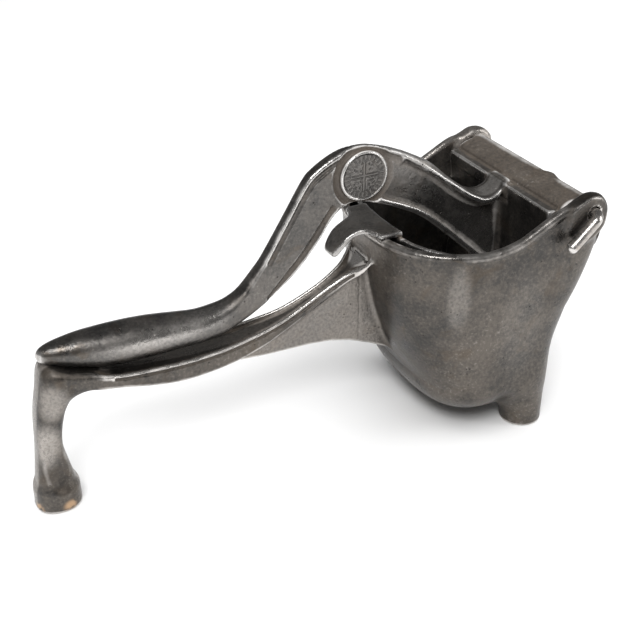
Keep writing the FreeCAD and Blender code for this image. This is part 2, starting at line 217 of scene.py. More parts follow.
def sampled(field, low, high, voxel):
    """Points, triangles and quads of the field's surface, cut from a grid of its values in the box."""
    count = np.ceil((high - low) / voxel).astype(int) + 1
    axes = [(low[i] + voxel * np.arange(count[i])).astype(np.float32) for i in range(3)]
    x, y, z = axes[0][:, None, None], axes[1][None, :, None], axes[2][None, None, :]
    parts = []
    thick = 64
    for start in range(0, count[0], thick):
        slab = x[start:start + thick]
        values = np.broadcast_to(field(slab, y, z), (len(slab), count[1], count[2]))
        parts.append(np.clip(values, -3 * voxel, 3 * voxel).astype(np.float32))
    grid = openvdb.FloatGrid(3 * voxel)
    grid.copyFromArray(np.concatenate(parts))
    points, tris, quads = grid.convertToPolygons(0.0, 0.0)
    return points * voxel + low, tris, quads


def gradient(field, points, step=0.12):
    """How the field rises along x, y and z at each point."""
    g = [field(*(points + step * e).T) - field(*(points - step * e).T) for e in np.eye(3)]
    return np.stack(g, 1) / (2 * step)


def onto_surface(field, points, voxel):
    """The points moved onto the exact surface, in three steps of at most half a voxel."""
    for _ in range(3):
        g = gradient(field, points)
        square = np.maximum((g * g).sum(1), 0.05)
        move = -(field(*points.T) / square)[:, None] * g
        length = np.maximum(np.linalg.norm(move, axis=1), 1e-9)
        points = points + move * np.minimum(1, 0.5 * voxel / length)[:, None]
    return points


def surroundings(field, points, normal):
    """What the materials read: how sharply the surface bends, and how open the space before it is."""
    reach, near, far = 1.6, 3.0, 10.0
    bend = sum(field(*(points + reach * s * e).T) for e in np.eye(3) for s in (1, -1)) / reach / 2
    return {"bend": bend,
            "open_near": np.clip(field(*(points + near * normal).T) / near, 0, 1),
            "open_far": np.clip(field(*(points + far * normal).T) / far, 0, 1)}


def mesh_of(name, field, low, high, voxel, dirt_and_shade=None, painted_light_and_wear=None, painted_reflection=None):
    """A closed smooth-shaded mesh of a distance field, with the values that its material reads."""
    verts, tris, quads = sampled(field, np.array(low, float), np.array(high, float), voxel)
    verts = onto_surface(field, verts, voxel)
    g = gradient(field, verts)
    normal = g / np.maximum(np.linalg.norm(g, axis=1), 1e-9)[:, None]
    mesh = bpy.data.meshes.new(name)
    faces = [tuple(q[::-1]) for q in quads.tolist()] + [tuple(t[::-1]) for t in tris.tolist()]
    placed = (verts + np.array([HINGE_X, 0, 0])) * M
    mesh.from_pydata(placed.tolist(), [], faces)
    mesh.polygons.foreach_set("use_smooth", np.ones(len(faces), bool))
    probe = mesh.polygons[0]
    outward = normal[list(probe.vertices)].mean(0)
    mesh.update()
    if np.dot(outward, np.array(probe.normal)) < 0:
        mesh.flip_normals()
    mesh.normals_split_custom_set_from_vertices(normal.tolist())
    marks = surroundings(field, verts, normal)
    # Marks: dirt and painted shade, painted light with some wear, and a painted reflection.
    for label, rule in (("dirt_and_shade", dirt_and_shade), ("painted_light_and_wear", painted_light_and_wear), ("painted_reflection", painted_reflection)):
        marks[label] = rule(*verts.T) if rule else np.zeros(len(verts))
    for label, data in marks.items():
        layer = mesh.attributes.new(label, "FLOAT", "POINT")
        layer.data.foreach_set("value", data.astype(np.float32))
    thing = bpy.data.objects.new(name, mesh)
    bpy.context.scene.collection.objects.link(thing)
    print(name, len(verts), "points", len(faces), "faces")
    return thing


# ------------------------------------------------------------------ the body casting
# Side-view heights along x: the rim, the arm's top and its lower edge. ARM_PLAN is the arm's half width.
RIM = Graph([(-100, 101.6), (-86, 101.6), (-70, 101.0), (-52, 100.2), (-38, 102.4), (-28, 107.0),
             (-20, 111.2), (-14.5, 113.6), (-10, 114.3), (-6, 115.2), (-2.5, 116.6), (1.5, 116.4),
             (5, 114.2), (7.2, 110.0), (8.6, 104.0), (10, 99.0), (14, 97.5)])
EAR = Outline(smooth_curve([(-12, 104), (-10.5, 111.5), (-5, 115.9), (0, 116.9), (4.4, 115.4), (7.2, 111.6),
                            (7.3, 106.6), (5.6, 101), (-1, 97), (-8, 98.5)], closed=True))
ARM_TOP = Graph([(-246, 73.4), (-240.5, 72.4), (-236, 71.0), (-228, 68.0), (-218, 65.0), (-208, 63.5),
                 (-196, 62.7), (-184, 61.8), (-174, 61.3), (-160, 61.6), (-150, 62.8), (-140, 64.5),
                 (-130, 67.0), (-120, 71.2), (-110, 76.2), (-102, 80.7), (-95, 85.0), (-90, 89.6),
                 (-87.4, 94.4), (-84, 100.6)])
SKIRT = Graph([(-246, 61.5), (-240.5, 60.5), (-234, 59.0), (-222, 58.2), (-210, 57.2), (-197, 54.6),
               (-183, 52.2), (-169, 51.9), (-155, 53.2), (-141, 56.6), (-125, 62.8), (-108, 71.6),
               (-98, 78.6), (-93, 83.0), (-88, 91.0), (-84, 97.0)])
ARM_PLAN = Graph([(-246, 7.0), (-240.5, 8.2), (-232, 9.8), (-216, 11.4), (-200, 12.2), (-186, 11.6),
                  (-165, 9.6), (-150, 8.0), (-140, 7.0), (-130, 5.6), (-120, 4.7), (-110, 4.3),
                  (-102, 5.2), (-98, 6.5),
                  (-95, 8.4), (-92, 10.5), (-90, 12.0), (-87.4, 15.0), (-84, 20.0)])
GUSSET = Outline([(-156, 57.4), (-152, 49.3), (-138, 48.4), (-117, 48.0), (-107, 47.0), (-96.6, 44.4),
                  (-86, 40.0), (-80, 37.0), (-72, 33.6), (-72, 80.0), (-90, 82.4), (-106, 74.0),
                  (-131, 62.4)])
# The front leg, by height: its front and rear faces in x, and its half width.
LEG_FRONT = Graph([(-5, -250.0), (5, -249.8), (12, -249.2), (20, -248.2), (30, -247.0), (45, -245.8),
                   (54, -244.4), (60, -242.6), (66, -239.6), (72, -235.0)])
LEG_REAR = Graph([(-5, -231.8), (5, -231.8), (12, -232.0), (20, -233.6), (30, -235.4), (38, -235.0),
                  (46, -233.2), (51, -231.2), (56, -227.6), (60, -223.0), (66, -217.0), (72, -214.0)])
LEG_WIDTH = Graph([(-5, 9.2), (5, 9.2), (12, 8.8), (20, 8.0), (30, 7.7), (42, 7.9), (52, 8.4), (60, 9.0),
                   (72, 9.4)])


def hopper_outside(x, y, z):
    """Distance to the hopper's outer skin: a rounded D in plan that closes like a bowl."""
    # Front and rear draw in below the rim; under HOPPER_TURN the plan closes round HOPPER_MIDDLE.
    level = np.clip(z, HOPPER_TURN, HOPPER_TOP)
    drop = HOPPER_TOP - level
    front = HOPPER_FRONT + 0.0033 * drop ** 2
    rear = HOPPER_REAR - 0.0208 * drop ** 1.633
    turn = np.maximum(HOPPER_TURN - z, 0.0) / (HOPPER_TURN - HOPPER_BOTTOM)
    shrink = np.sqrt(np.clip(1 - turn ** 2, 0, 1))
    middle = HOPPER_MIDDLE + ((front + rear) / 2 - HOPPER_MIDDLE) * shrink
    half = (rear - front) / 2
    u = np.abs(x - middle) / half
    v = np.abs(y) / HOPPER_HALF_WIDTH
    rear_fullness = 5.0 + 5.0 * np.clip((level - 60) / 44, 0, 1)
    n = np.where(x < middle, HOPPER_FRONT_FULLNESS, rear_fullness)
    q = np.maximum(u ** n + v ** n, 1e-6) ** (1 / n)
    whole = np.sqrt(q * q + turn * turn)
    plan_slope = np.sqrt((u ** (n - 1) / half) ** 2 + (v ** (n - 1) / HOPPER_HALF_WIDTH) ** 2)
    plan_slope = q ** (1 - n) * plan_slope
    slope = np.sqrt((q / whole * plan_slope) ** 2 + (turn / whole / (HOPPER_TURN - HOPPER_BOTTOM)) ** 2)
    return (whole - 1) / np.maximum(slope, 1 / 80)


def arm_field(x, y, z):
    """The front arm: a shallow trough between two ridges, a parting seam below each, and the web gusset."""
    side = np.abs(y)
    top, half = ARM_TOP(x), ARM_PLAN(x)
    lid = (z - top) * ARM_TOP.factor(x)
    wall = (side - half) * ARM_PLAN.factor(x)
    nose = fade(x, -214, -232)
    arm = meet(meet(lid, (SKIRT(x) - z) * SKIRT.factor(x), 1.2), wall, 1.6 + 5.0 * nose)
    trough = meet((top - TROUGH_DEPTH * fade(x, -236, -208) - z), wall + RIDGE_WIDTH, 1.2)
    arm = carve(arm, trough, 0.9)
    seam = np.maximum(disc(wall + 0.1, lid + 1.75, SEAM_RADIUS), np.maximum(SEAM_START - x, x - SEAM_END))
    arm = carve(arm, seam, 0.4)
    arm = meet(arm, ARM_NOSE - x, 6.0)
    return join(arm, meet(GUSSET(x, z), side - GUSSET_HALF, 1.2), 1.6)


def front_leg_field(x, y, z):
    """The front leg, scooped on both sides above its round foot."""
    front, rear, half = LEG_FRONT(z), LEG_REAR(z), LEG_WIDTH(z)
    along, across = (x - (front + rear) / 2) / ((rear - front) / 2), y / half
    n = LEG_FULLNESS
    q = np.maximum(np.abs(along) ** n + np.abs(across) ** n, 1e-5) ** (1 / n)
    leg = (q - 1) * np.minimum((rear - front) / 2, half)
    leg = meet(leg, z - ARM_TOP(x) + 1.5, 3)
    foot = meet(disc(x - FOOT_X, y, FOOT_RADIUS), z - FOOT_HEIGHT, 3.2)
    leg = join(leg, foot, 2.6)
    side = np.abs(y)
    scoop = (oval((x, side, z), SCOOP_PLACE, SCOOP_RADII) - 1) * 7.0
    return carve(leg, scoop, 1.4)


def body_field(x, y, z):
    """The whole body casting: hopper with its bead, rear legs, arm, front leg and hinge ears."""
    side = np.abs(y)
    skin = hopper_outside(x, y, z)
    rim = RIM(x)
    rim_rise = (z - rim) * RIM.factor(x)
    hopper = meet(skin, rim_rise, 1.6)
    bead = disc(skin + 1.5, rim_rise + 1.5, BEAD_RADIUS)
    hopper = join(hopper, bead, 0.8)
    tab_seat = np.maximum(np.maximum(TAB_SEAT_LOW - z, side - TAB_SEAT_HALF), x - TAB_SEAT_END)
    hopper = carve(hopper, tab_seat, 0.3)
    legs = disc(x - REAR_LEG_X, side - REAR_LEG_Y, REAR_LEG_RADIUS - 5.5 * fade(z, 26, 54))
    legs = meet(legs, z - REAR_LEG_TOP, 4)
    body = join(hopper, legs, 9.0)
    body = join(body, arm_field(x, y, z), 2.4)
    body = join(body, front_leg_field(x, y, z), 6.0)
    body = carve(body, skin + WALL, 1.6)
    behind = np.maximum(np.maximum(REAR_RIM - z, side - EAR_INNER), REAR_CUT_FRONT - x)
    body = carve(body, behind, 1.5)
    far_ear_smaller = np.where(y > 0, 1.2, 0.0)
    eye = EAR(x, z) + far_ear_smaller
    ear = meet(eye, np.maximum(side - EAR_OUTER, EAR_INNER - side), 2.4)
    body = join(body, ear, 5.0)
    body = carve(body, disc(x, z - HINGE_Z, BORE_RADIUS), 0.5)
    body = meet(body, x - BODY_REAR, 0.6)
    return meet(meet(body, -z, 1.2), side - EAR_REACH, 0.4)


# The casting is meshed in two closed halves that overlap here, so that the arm can have the finer mesh.
SPLIT, OVERLAP, SINK = -92.0, 1.5, 0.12


def front_half(x, y, z):
    """The arm and front leg; past the split it sinks just below the rear half's skin."""
    sink = SINK * np.clip(x - SPLIT + 0.5, 0, 1)
    return np.maximum(body_field(x, y, z) + sink, x - SPLIT - OVERLAP)


def rear_half(x, y, z):
    """The hopper; past the split it sinks just below the front half's skin."""
    sink = SINK * np.clip(SPLIT + 0.5 - x, 0, 1)
    return np.maximum(body_field(x, y, z) + sink, SPLIT - OVERLAP - x)


# ------------------------------------------------------------------ the lever casting
LEVER_TOP_EDGE = [(-169.9, 78.9), (-160, 79.6), (-155, 81.2), (-150, 84.4), (-143.4, 91.5),
                  (-138.6, 97.4), (-128.6, 113.4), (-119.0, 128.8), (-114.3, 133.4), (-107.0, 137.7),
                  (-99.9, 140.2), (-92.5, 141.0), (-85.2, 139.8), (-75, 136.2), (-65, 131.5),
                  (-55.5, 126.0), (-46.5, 117.6), (-36, 109.4), (-28, 105.6), (-22, 106.5), (-17, 110.0)]
LEVER_LOW_EDGE = [(-17, 60.0), (-34.8, 78.4), (-49.6, 92.0), (-61, 101.4), (-71.8, 107.3),
                  (-82.3, 112.1), (-92.4, 114.7), (-98.4, 114.5), (-102.6, 112.9), (-107.2, 108.1),
                  (-112.1, 100.7), (-122, 89.0), (-131.9, 80.6), (-141.8, 73.9), (-150.6, 69.2),
                  (-160, 65.4), (-169.9, 63.5)]
# The spindle grip: x, the height of its middle line, and how far it reaches above and below that.
GRIP_HALF = [(-241.2, 75.1, 0.0), (-240.4, 75.1, 2.3), (-238, 75.0, 4.0), (-234, 74.7, 5.5),
             (-228, 74.2, 7.0), (-221, 73.7, 8.2), (-213, 73.0, 9.1), (-204, 72.7, 9.4),
             (-195, 72.5, 9.2), (-187, 72.1, 8.8), (-178, 71.6, 8.1)]
LEVER_OUTLINE = Outline(smooth_curve(
    [(x, z + r) for x, z, r in GRIP_HALF] + LEVER_TOP_EDGE + [(-12, 106), (-12, 62)] + LEVER_LOW_EDGE
    + [(x, z - r) for x, z, r in GRIP_HALF[:0:-1]], 5, True))
# Along x: the roundness of the grip's section, and the flat arm's half thickness.
GRIP_GIRTH = Graph([(-242, 0.5), (-241.2, 0.5)] + [(x, 0.98 * r - 0.1) for x, z, r in GRIP_HALF[1:]]
                   + [(-170, 7.25), (-162, 6.6), (-154, 6.0), (-146, 5.6), (-138, 5.5)])
ARM_HALF = Graph([(-186, 11.0), (-177, 9.7), (-168, 8.1), (-159, 6.4), (-150, 4.8), (-141, 3.7),
                  (-132, 3.15), (-123, 3.0), (-114, 3.0)])
FLANGE_TOP = Graph([(-70, 132.8), (-57.6, 125.4), (-46.5, 117.1), (-36, 109.4), (-28, 105.8), (-22, 106.7),
                    (-17, 111.2), (-14, 113)])
FLANGE_HALF = Graph([(-74, 3.2), (-66, 3.6), (-56, 4.4), (-46, 5.8), (-36, 7.2), (-28, 7.8), (-16, 6.6)])
ROUNDEL_X, ROUNDEL_Z, ROUNDEL_RADIUS = -90.8, 127.3, 11.6


class Track:
    """Distance in the side plane to an open curve, kept as a table and read the way Outline is."""

    def __init__(self, points, cell=0.4, margin=6.0):
        p = smooth_curve(points, 6)
        self.cell = cell
        self.low, a, b = plane_grid(p, cell, margin)
        near = np.full((a.size, b.size), 1e9)
        for start, end in zip(p, p[1:]):
            near = np.minimum(near, square_to_segment(a, b, start, end))
        self.table = np.sqrt(near)

    __call__ = Outline.__call__


LOW_GROOVE = Track([(-136.6, 78.2), (-128.6, 86.2), (-119.3, 96.1), (-111.6, 106.4), (-105.8, 114.4)])
TOP_GROOVE = Track([(-136.6, 95.2), (-126.4, 111.6), (-117.0, 126.6), (-110.6, 132.0), (-103.8, 135.4)])
REAR_PANEL_TOP = [(-80.8, 134.9), (-71.0, 130.7), (-57.0, 123.2), (-48.4, 114.9), (-37.6, 106.4),
                  (-28.5, 102.0), (-10, 101.0)]
TOP_GROOVE_REAR = Track(REAR_PANEL_TOP)
REAR_PANEL = Outline(smooth_curve(
    REAR_PANEL_TOP + [(-10, 66.0), (-21, 70.4), (-32.6, 80.6), (-47.5, 94.3), (-59.4, 104.0), (-70.5, 109.9),
                      (-81.3, 114.8), (-87, 120)], 5, True))


def along_height(points, levels=None):
    """Heights and x places of a smooth side line given as (z, x), on its own heights or the given ones."""
    curve = smooth_curve(points)
    if levels is None:
        return curve[:, 0], curve[:, 1]
    return levels, np.interp(levels, curve[:, 0], curve[:, 1])


PLATE_Z, PLATE_FRONT_X = along_height([(34.0, -25.4), (52.0, -19.0), (65.0, -16.4), (79.0, -15.9),
                                       (95.0, -17.4), (104.0, -17.9), (114.0, -17.9)])
PLATE_Z, PLATE_REAR_X = along_height([(34.0, -20.6), (52.0, -13.6), (65.0, -10.2), (79.0, -8.8),
                                      (95.0, -9.4), (106.0, -9.0), (114.0, -9.0)], PLATE_Z)


def swung_outline(radius, half_width, fullness=2.7, reach=33.0):
    """Outline in (y, distance from the hinge): straight sides and a round tip."""
    angle = np.linspace(0, math.pi / 2, 10)
    y = half_width * np.sin(angle) ** (2 / fullness)
    r = radius - reach + reach * np.cos(angle) ** (2 / fullness)
    half = list(zip(y, r))
    whole = [(-a, b) for a, b in half[:0:-1]] + half + [(half_width, -20.0), (-half_width, -20.0)]
    return Outline(whole)


PLATE_TIP = swung_outline(PLATE_RADIUS, PLATE_HALF_WIDTH)
# Each groove of the arm's faces: its line, the radius of the round cutter, and how deep that goes.
GROOVES = ((LOW_GROOVE, 1.9, 1.1), (TOP_GROOVE, 1.2, 0.7), (TOP_GROOVE_REAR, 1.9, 1.5))
FLANGE_THICKNESS = 3.0
FLANGE_START, FLANGE_END = -72, -15


def lever_arm_field(x, y, z):
    """The flat arm: grooves, the sunk rear panel, the round boss in its moat, and the flange at the block."""
    side = np.abs(y)
    half = ARM_HALF(x)
    edge = LEVER_OUTLINE(x, z)
    arm = meet(edge, side - half, 1.8 + 3.0 * fade(-x, 134, 158))
    for groove, radius, depth in GROOVES:
        arm = carve(arm, disc(groove(x, z), side - half - radius + depth, radius), 0.8)
    from_boss = np.sqrt((x - ROUNDEL_X) ** 2 + (z - ROUNDEL_Z) ** 2)
    sunk = np.maximum(meet(REAR_PANEL(x, z), ROUNDEL_RADIUS + 1.0 - from_boss, 1.0), half - 1.0 - side)
    arm = carve(arm, sunk, 0.9)
    moat = disc(from_boss - ROUNDEL_RADIUS - 1.6, side - half - 0.6, 2.2)
    arm = carve(arm, moat, 0.7)
    boss = meet(from_boss - ROUNDEL_RADIUS, side - half - 0.1, 0.7)
    arm = join(arm, boss, 0.5)
    rim_ring = disc(from_boss - ROUNDEL_RADIUS + 0.8, side - half - 0.1, 0.6)
    arm = join(arm, rim_ring, 0.4)
    top = FLANGE_TOP(x)
    level = FLANGE_TOP.factor(x)
    flange = meet((z - top) * level, (top - FLANGE_THICKNESS - z) * level, 1.4)
    flange = meet(flange, side - FLANGE_HALF(x), 1.6)
    flange = meet(flange, np.maximum(FLANGE_START - x, x - FLANGE_END), 1.0)
    return join(arm, flange, 1.8)


def lever_field(x, y, z):
    """The whole lever casting: grip, arm, press plate, ledged block, barrel and eye."""
    girth = GRIP_GIRTH(x)
    grip = np.sqrt(y * y + np.maximum(girth + LEVER_OUTLINE(x, z), 0) ** 2) - girth
    flat = fade(x, -172, -146)
    lever = grip * (1 - flat) + lever_arm_field(x, y, z) * flat
    front = np.interp(z, PLATE_Z, PLATE_FRONT_X)
    rear = np.interp(z, PLATE_Z, PLATE_REAR_X)
    from_hinge = np.sqrt(x * x + (z - HINGE_Z) ** 2)
    plate = meet(front - x, x - rear, 1.4)
    plate = meet(plate, PLATE_TIP(y, np.where(z > HINGE_Z, 0, from_hinge)), 1.2)
    plate = meet(plate, hopper_outside(x, y, np.minimum(z, HOPPER_TOP)) + PLATE_INSET, 1.2)
    plate = meet(plate, z - PLATE_TOP, 1.0)
    side = np.abs(y)
    block = meet(meet(BLOCK_FRONT - x, z - BLOCK_TOP, 0.7), np.maximum(x, BLOCK_LOW - z))
    block = meet(block, side - BLOCK_HALF_WIDTH, 1.0)
    hump = (oval((x, z), HUMP_PLACE, HUMP_RADII) - 1) * 6.0
    barrel = meet(meet(hump, BARREL_LOW - z, 2.0), side - BARREL_HALF_LENGTH, 1.6)
    eye = meet(disc(x, z - HINGE_Z, LEVER_EYE_RADIUS), side - LEVER_EYE_REACH, 0.8)
    head = join(join(block, barrel, 0.5), eye, 2.5)
    crease = meet(disc(x - CREASE_X, z - CREASE_Z, CREASE_RADIUS), side - CREASE_HALF_LENGTH, 0.5)
    head = carve(head, crease, 0.4)
    lug = (oval((x, y, z), LUG_PLACE, LUG_RADII) - 1) * 1.7
    head = join(head, lug, 1.6)
    lever = join(lever, join(plate, head, 1.2), 2.4)
    return carve(lever, disc(x, z - HINGE_Z, ROD_RADIUS + 0.1), 0.2)


# ------------------------------------------------------------------ the liner
LINER_OUT = swung_outline(LINER_RADIUS + LINER_WALL, LINER_HALF_WIDTH + LINER_WALL)
LINER_IN = swung_outline(LINER_RADIUS, LINER_HALF_WIDTH)
LINER_Z, LINER_REAR_X = along_height([(24.0, -19.0), (31.0, -15.4), (44.0, -9.2), (56.0, -3.9),
                                      (70.0, 1.2), (84.0, 5.0), (97.0, 7.0)])
LINER_TOP_X = [-90, -72, -56, -40, -20, 10]
LINER_TOP_Z = [102.0, 100.6, 97.8, 96.6, 95.5, 95.5]
TONGUE = Outline(smooth_curve([
    (-76, 103.9), (-86, 104.0), (-94, 103.8), (-100.5, 101.0), (-104.6, 96.8), (-107.2, 93.2), (-106.6, 91.8),
    (-105.0, 92.2), (-102.4, 95.4), (-98.6, 99.4), (-93.2, 101.5), (-86, 101.6), (-76, 101.6)], 5, True))
TONGUE_HALF = Graph([(-110, 0.4), (-107.6, 3.0), (-106, 4.8), (-103, 6.2), (-97, 6.8), (-94, 7.6),
                     (-92, 9.6), (-90.6, 12.6), (-89.4, 16.0), (-88.6, 17.0), (-70, 17.0)])


def from_nearest(value, pitch, first, last):
    """Offset of value from the nearest multiple of pitch, from the first to the last multiple only."""
    return value - pitch * np.clip(np.round(value / pitch), first, last)


def liner_field(x, y, z):
    """The liner pan: swung about the hinge like the plate, with a lip, a curled tongue and drain holes."""
    side = np.abs(y)
    from_hinge = np.sqrt(x * x + (z - HINGE_Z) ** 2)
    r = np.where(z > HINGE_Z, np.abs(x), from_hinge)
    behind = (x - np.interp(z, LINER_Z, LINER_REAR_X)) * 0.93
    skin = hopper_outside(x, y, np.maximum(z, HOPPER_TURN)) + WALL + LINER_GAP
    outside = meet(meet(LINER_OUT(y, r), behind, 1.0), skin, 1.0)
    inside = meet(meet(LINER_IN(y, r), behind + LINER_WALL, 2.0), skin + LINER_WALL, 2.0)
    liner = carve(outside, inside, 0.6)
    liner = meet(liner, z - np.interp(x, LINER_TOP_X, LINER_TOP_Z), 0.9)
    tab = meet(TONGUE(x, z), (side - TONGUE_HALF(x)) * TONGUE_HALF.factor(x), 0.9)
    tab = carve(tab, LINER_IN(y, r), 0.8)
    liner = join(liner, tab, 0.8)
    across = from_nearest(y, DRAIN_PITCH, -DRAIN_LAST_COLUMN, DRAIN_LAST_COLUMN)
    up = from_nearest(z - WALL_ROW_LOW, WALL_ROW_PITCH, 0, WALL_LAST_ROW)
    wall_holes = np.maximum(disc(across, up, DRAIN_RADIUS), WALL_HOLES_FROM - x)
    angle = np.degrees(np.arctan2(HINGE_Z - z, -x))
    round_floor = np.radians(from_nearest(angle - FLOOR_ROW_START, FLOOR_ROW_STEP, 0, FLOOR_LAST_ROW))
    floor_holes = disc(across, round_floor * from_hinge, DRAIN_RADIUS)
    floor_holes = np.maximum(floor_holes, FLOOR_HOLES_FROM - from_hinge)
    return carve(liner, np.minimum(wall_holes, floor_holes), 0.4)


# ------------------------------------------------------------------ the rod
ROD_REACH = 56.1
HOOK_BEND = 3.4
HOOK_LENGTH = 16.0
HOOK_DIRECTION = (-0.73, -0.68)    # in x and z


def rod_field(x, y, z):
    """The straight rod along y, and the hook that leaves its near end forward and down."""
    forward = np.array(HOOK_DIRECTION) / math.hypot(*HOOK_DIRECTION)
    along = x * forward[0] + (z - HINGE_Z) * forward[1]
    off = -x * forward[1] + (z - HINGE_Z) * forward[0]
    corner = -(ROD_REACH - ROD_RADIUS - HOOK_BEND)
    straight = np.sqrt(along ** 2 + off ** 2 + (np.maximum(y - ROD_REACH + 1.5, 0) * 2) ** 2
                       + np.maximum(corner - y, 0) ** 2) - ROD_RADIUS
    in_bend = (y < corner) & (along < HOOK_BEND)
    ring = disc(disc(along - HOOK_BEND, y - corner, HOOK_BEND), off, ROD_RADIUS)
    reach = np.maximum(along - HOOK_BEND - HOOK_LENGTH + 1.4, 0) + np.maximum(HOOK_BEND - along, 0)
    hook = np.sqrt((y - corner + HOOK_BEND) ** 2 + off ** 2 + reach ** 2) - ROD_RADIUS
    return np.minimum(np.where(in_bend, ring, straight), hook)


# ------------------------------------------------------------------ materials
class Nodes:
    """Short calls for building a node tree."""

    def __init__(self, name):
        self.material = bpy.data.materials.new(name)
        self.material.use_nodes = True
        self.tree = self.material.node_tree
        self.tree.nodes.clear()
        self.output = self.add("ShaderNodeOutputMaterial")

    def add(self, kind, **values):
        node = self.tree.nodes.new(kind)
        for key, value in values.items():
            setattr(node, key, value)
        return node

    def link(self, source, target):
        self.tree.links.new(source, target)

    def feed(self, socket, value):
        if isinstance(value, bpy.types.NodeSocket):
            self.link(value, socket)
        else:
            socket.default_value = value

    def math(self, operation, a, b=0.0, clamp=False):
        node = self.add("ShaderNodeMath", operation=operation, use_clamp=clamp)
        self.feed(node.inputs[0], a)
        self.feed(node.inputs[1], b)
        return node.outputs[0]

    def ramp(self, value, low, high, out_low=0.0, out_high=1.0):
        node = self.add("ShaderNodeMapRange", clamp=True, interpolation_type="SMOOTHSTEP")
        for socket, item in zip(node.inputs[:5], (value, low, high, out_low, out_high)):
            self.feed(socket, item)
        return node.outputs[0]

    def mix(self, factor, a, b):
        node = self.add("ShaderNodeMix", data_type="RGBA")
        self.feed(node.inputs[0], factor)
        self.feed(node.inputs[6], a)
        self.feed(node.inputs[7], b)
        return node.outputs[2]

    def place(self, stretch=(1, 1, 1)):
        where = self.add("ShaderNodeTexCoord").outputs["Object"]
        mapping = self.add("ShaderNodeMapping")
        mapping.inputs["Scale"].default_value = stretch
        self.link(where, mapping.inputs[0])
        return mapping.outputs[0]

    def noise(self, scale, detail=4.0, rough=0.55, stretch=(1, 1, 1), warp=0.0):
        node = self.add("ShaderNodeTexNoise")
        self.link(self.place(stretch), node.inputs["Vector"])
        node.inputs["Scale"].default_value = scale
        node.inputs["Detail"].default_value = detail
        node.inputs["Roughness"].default_value = rough
        node.inputs["Distortion"].default_value = warp
        return node.outputs["Fac"]

    def spots(self, scale, feature="F1"):
        node = self.add("ShaderNodeTexVoronoi", feature=feature)
        self.link(self.place(), node.inputs["Vector"])
        node.inputs["Scale"].default_value = scale
        return node.outputs["Distance"]

    def attribute(self, name):
        return self.add("ShaderNodeAttribute", attribute_name=name).outputs["Fac"]


def grey(value, warm=0.0):
    """A grey of this brightness, moved from blue towards red by warm."""
    return (value * (1 + warm), value, value * (1 - warm), 1.0)


def relief(n, fine):
    """A made-up raised pattern for the round boss: a cross and four grained quarters in a ring of strokes."""
    where = n.add("ShaderNodeSeparateXYZ")
    n.link(n.add("ShaderNodeTexCoord").outputs["Object"], where.inputs[0])
    across = n.math("MULTIPLY", n.math("SUBTRACT", where.outputs[0], (HINGE_X + ROUNDEL_X) * M), 1000.0)
    up = n.math("MULTIPLY", n.math("SUBTRACT", where.outputs[2], ROUNDEL_Z * M), 1000.0)
    far = n.math("SQRT", n.math("ADD", n.math("MULTIPLY", across, across), n.math("MULTIPLY", up, up)))
    turn = n.math("ARCTAN2", up, across)
    strokes = n.math("SINE", n.math("MULTIPLY", turn, 26.0))
    band = n.math("COMPARE", far, 8.6)
    band.node.inputs[2].default_value = 1.1
    strokes = n.math("MULTIPLY", n.ramp(strokes, -0.1, 0.5), band)
    bars = n.math("MINIMUM", n.math("ABSOLUTE", across), n.math("ABSOLUTE", up))
    field = n.math("LESS_THAN", far, 6.9)
    stamped = n.ramp(n.spots(560), 0.25, 0.45)
    quarters = n.math("MULTIPLY", n.math("MULTIPLY", stamped, n.ramp(bars, 0.7, 1.1)), field)
    cross = n.math("MULTIPLY", n.ramp(bars, 0.25, 0.55, 1.0, 0.0), field)
    pattern = n.math("MAXIMUM", n.math("MAXIMUM", quarters, cross), strokes)
    near_face = n.math("LESS_THAN", where.outputs[1], -0.003)
    inside = n.math("MULTIPLY", n.math("LESS_THAN", far, 10.4), near_face)
    return n.math("MULTIPLY", n.math("ADD", pattern, n.math("MULTIPLY", fine, 0.5)), inside)


